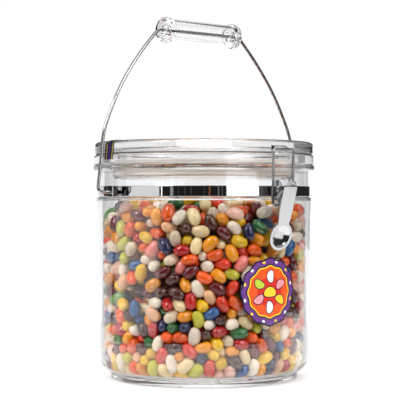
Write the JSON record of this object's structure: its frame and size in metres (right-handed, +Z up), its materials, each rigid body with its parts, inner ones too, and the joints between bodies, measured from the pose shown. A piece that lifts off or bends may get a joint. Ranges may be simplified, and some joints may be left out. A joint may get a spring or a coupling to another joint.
{
  "type": "jar of jelly beans",
  "caption": "Clear clamp-lid canister with a swinging wire bail, a roller grip and a toggle clasp, full of mixed jelly beans.",
  "frame": {"origin": "centre of the foot's flat underside, on the jar's axis", "axes": "+Z up along the jar's axis, the clasp on the -Y side, the bail's pivot line along X"},
  "size_m": [0.2408, 0.2166, 0.3269],
  "materials": {
    "acrylic": "clear, polished",
    "steel": "mirror polished",
    "silicone": "translucent, satin",
    "dark_seal": "satin",
    "beans": "sugar-shell gloss, many colours",
    "label": "gloss print",
    "strip": "gloss print"
  },
  "bodies": {
    "root": {"jar_body": "acrylic", "jelly_beans": "beans", "lid": "acrylic", "lid_gasket": "silicone", "rim_seal": "dark_seal", "neck_band": "steel", "bail_ear_left": "steel", "bail_ear_right": "steel", "clasp_bracket": "steel", "clasp_pin": "steel", "front_label": "label", "seal_strip": "strip"},
    "bail": {"bail_wire": "steel"},
    "grip": {"bail_grip": "acrylic"},
    "lever": {"clasp_lever": "steel"},
    "loop": {"clasp_loop": "steel"}
  },
  "joints": [
    {"name": "bail_swing", "type": "hinge", "parent": "root", "child": "bail", "pos_m": [0, 0, 0.1683], "axis": [1, 0, 0], "range_deg": [-129.5, 134]},
    {"name": "grip_spin", "type": "hinge", "parent": "bail", "child": "grip", "pos_m": [0, 0.00667, 0.31515], "axis": [1, 0, 0], "continuous": true},
    {"name": "clasp_lever_turn", "type": "hinge", "parent": "root", "child": "lever", "pos_m": [0, -0.1073, 0.1712], "axis": [-1, 0, 0], "range_deg": [0, 100]},
    {"name": "clasp_loop_turn", "type": "hinge", "parent": "lever", "child": "loop", "pos_m": [0, -0.105, 0.157], "axis": [-1, 0, 0], "range_deg": [-152, 0]}
  ],
  "couplings": [
    {"joint": "clasp_loop_turn", "follows": "clasp_lever_turn", "ratio": -1.5}
  ]
}
